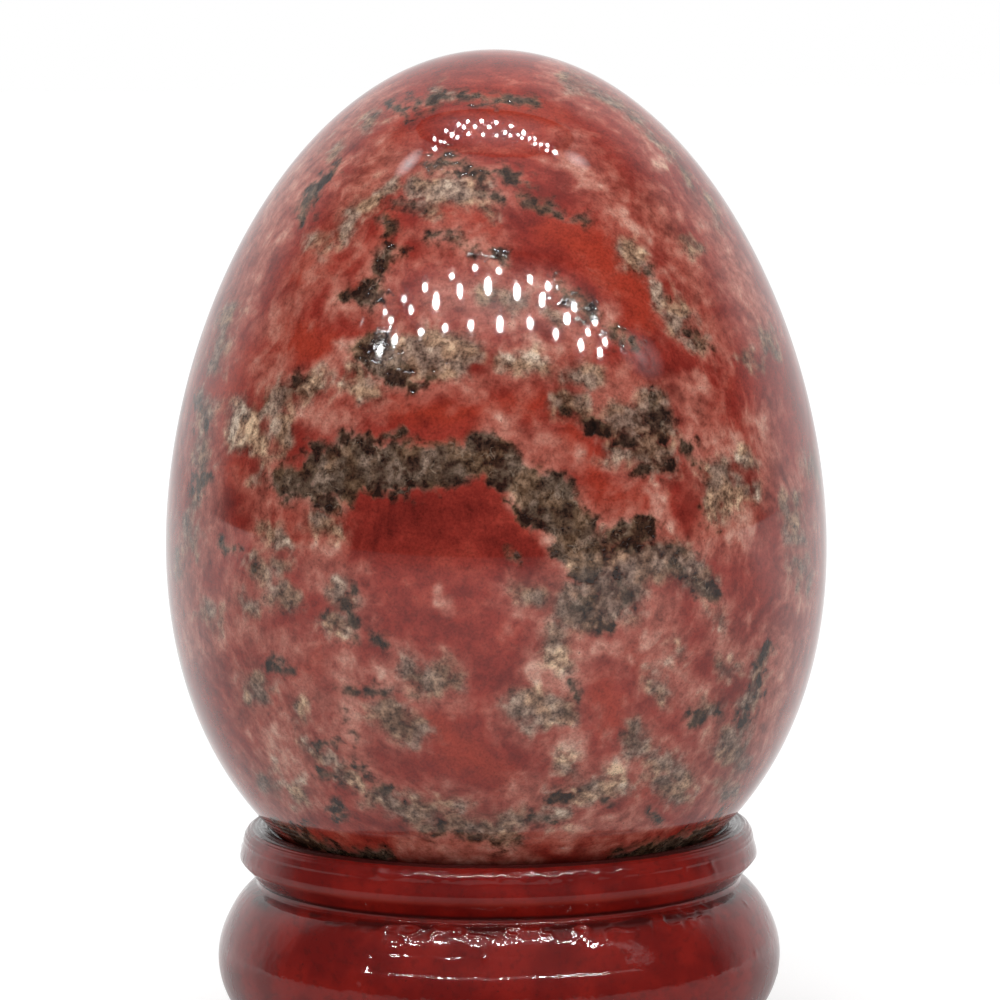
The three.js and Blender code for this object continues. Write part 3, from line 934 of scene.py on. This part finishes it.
def make_lamps():
    for name, place, size, power in LAMPS:
        data = bpy.data.lights.new(name, "AREA")
        data.shape = "DISK"
        data.size = size
        data.energy = power
        lamp = linked(name, data)
        lamp.location = place
        lamp.rotation_mode = "QUATERNION"
        lamp.rotation_quaternion = (LAMP_AIM - lamp.location).to_track_quat("-Z", "Y")
        lamp.visible_glossy = False


# What the egg's polish mirrors, as it shows in the photograph: a place, a half width and a half height in
# pixels, and for smears a turn in degrees and a strength.
FRONT_DIODES = [
    (385, 312, 3, 3.5), (404, 299, 3, 4), (425, 287, 3, 5), (452, 276, 3, 3), (475, 268, 3, 3),
    (499, 271, 3, 3), (530, 279, 3, 4.5), (548, 286, 3.2, 5), (574, 307, 3, 5), (595, 322, 3, 3.5),
    (605, 342, 2.5, 4), (391, 320, 3, 4), (411, 310, 3, 5.5), (436, 301, 3.5, 11), (460, 291, 3.2, 8.5),
    (488, 286, 4, 12), (517, 292, 4, 11), (542, 300, 3.5, 9), (567, 319, 4, 7), (588, 332, 2.5, 4),
    (380, 350, 3, 4), (395, 339, 2.5, 6.5), (421, 332, 3.2, 3.5), (445, 328, 3.2, 4), (471, 325, 3.2, 5),
    (500, 324, 3.8, 10), (530, 323, 3.2, 6.5), (556, 334, 3, 5.5), (581, 345, 3.2, 7), (600, 352, 2.8, 5),
]
TOP_DIODES = [
    (434.5, 138.5, 2, 2), (435, 148.5, 2, 1.5), (440.5, 141.5, 1.5, 1.5), (445, 142.5, 1.5, 1.5),
    (446, 130.5, 1.5, 2), (452, 134.5, 2, 3), (457.5, 137.5, 1.5, 2), (458.5, 124.5, 2, 2),
    (464, 127, 1.5, 2.5), (467.5, 121.5, 2, 1.5), (468.5, 134, 2, 2.5), (475, 126.5, 2, 2),
    (482, 121, 2, 2), (483, 134.5, 1.5, 1.5), (489, 127, 2, 2.5), (496, 122.5, 2.5, 2),
    (496.5, 135.5, 1.5, 1.5), (505, 132.5, 1.5, 2.5), (510, 135.5, 1.5, 1.5), (511, 126, 2, 2),
    (518, 134.5, 1, 1.5), (523.5, 132.5, 2, 3), (522, 138, 1.5, 1.5), (529.5, 138.5, 1.5, 1.5),
    (535, 138.5, 1.5, 2), (535, 143.5, 1.5, 1.5), (541, 144.5, 1.5, 1.5), (547.5, 145, 1.5, 2),
    (547, 150.5, 1.5, 1.5), (555, 152, 2, 2),
]
SMEARS = [
    (409, 163, 22, 8, 134, 8.0), (577, 160, 18, 8, 30, 6.0), (640, 354, 34, 20, 50, 2.5),
    (640, 356, 16, 8, 50, 3.0), (623, 350, 4, 2, 35, 25.0), (362, 322, 6, 1.5, 110, 10.0),
    (492, 305, 135, 55, 4, 1.6), (495, 134, 80, 24, 4, 1.6),
]
LAMP_HEIGHT = 250.0  # millimetres over the floor
DIODE_STRENGTH = 300.0
DIODE_TRIM = 0.70  # the share of a highlight that its diode fills; the rest is glare
SIDES = 16
HALVINGS = 40
SLOPE_STEP = 1e-5


def mirrored_in_egg(pixels):
    """Where sight lines through pixels of the photograph, mirrored by the egg, reach the lamps' height."""
    right, up, forward = (np.array(axis) for axis in camera_axes()[:3])
    across = (pixels - PHOTO_WIDTH / 2) / FOCAL_PIXELS
    rays = forward + across[:, :1] * right - across[:, 1:] * up
    start = np.array(CAMERA_PLACE)
    low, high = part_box("stone_egg")
    widest = (high[0] - low[0]) / 2

    def radius(height):
        return widest * egg_section(np.clip(2 * (height - low[2]) / (high[2] - low[2]) - 1, -1, 1))

    near = (-widest - start[1]) / rays[:, 1]
    far = -start[1] / rays[:, 1]
    for _ in range(HALVINGS):
        middle = (near + far) / 2
        x, y, z = (start + middle[:, None] * rays).T
        outside = np.hypot(x, y) > radius(z)
        near = np.where(outside, middle, near)
        far = np.where(outside, far, middle)
    points = start + far[:, None] * rays
    x, y, z = points.T
    slope = (radius(z + SLOPE_STEP) - radius(z - SLOPE_STEP)) / (2 * SLOPE_STEP)
    normals = np.stack([x, y, -slope * np.hypot(x, y)], -1)
    normals /= np.linalg.norm(normals, axis=1)[:, None]
    away = rays - 2 * (rays * normals).sum(1)[:, None] * normals
    return points + ((LAMP_HEIGHT * MM - z) / away[:, 2])[:, None] * away


def make_lamp_discs(name, spots, edge):
    """Glowing discs that only gloss can see, over the places where the egg mirrors them."""
    vertices = []
    faces = []
    glow = []
    for x, y, half_width, half_height, lean, strength in spots:
        first = len(vertices)
        turns = np.arange(SIDES) * 2 * math.pi / SIDES
        turned = Matrix.Rotation(math.radians(lean), 2)
        ring = np.stack([half_width * np.cos(turns), half_height * np.sin(turns)], -1) @ np.array(turned).T
        pixels = np.vstack([[0.0, 0.0], ring]) + (x, y)
        vertices += (mirrored_in_egg(pixels) / MM).tolist()
        faces += [(first, first + 1 + i, first + 1 + (i + 1) % SIDES) for i in range(SIDES)]
        glow += [strength] + [strength * edge] * SIDES
    lamp = Recipe(bpy.data.materials.new(name))
    lamp.finish({
        "Base Color": (0, 0, 0, 1),
        "Emission Color": (1, 1, 1, 1),
        "Emission Strength": lamp.attribute("glow"),
    })
    discs = plain_mesh(name, vertices, faces, lamp.owner)
    store(discs.data, "glow", glow)
    discs.visible_camera = False
    discs.visible_diffuse = False
    discs.visible_shadow = False


def make_mirrored_lights():
    diodes = [
        (x, y, DIODE_TRIM * across, DIODE_TRIM * up, 0.0, DIODE_STRENGTH)
        for x, y, across, up in FRONT_DIODES + TOP_DIODES
    ]
    make_lamp_discs("diodes", diodes, 1.0)
    make_lamp_discs("smears", SMEARS, 0.0)


make_camera()
make_egg()
make_stand()
make_floor()
make_world()
make_lamps()
make_mirrored_lights()
bpy.context.scene.view_settings.view_transform = "Standard"
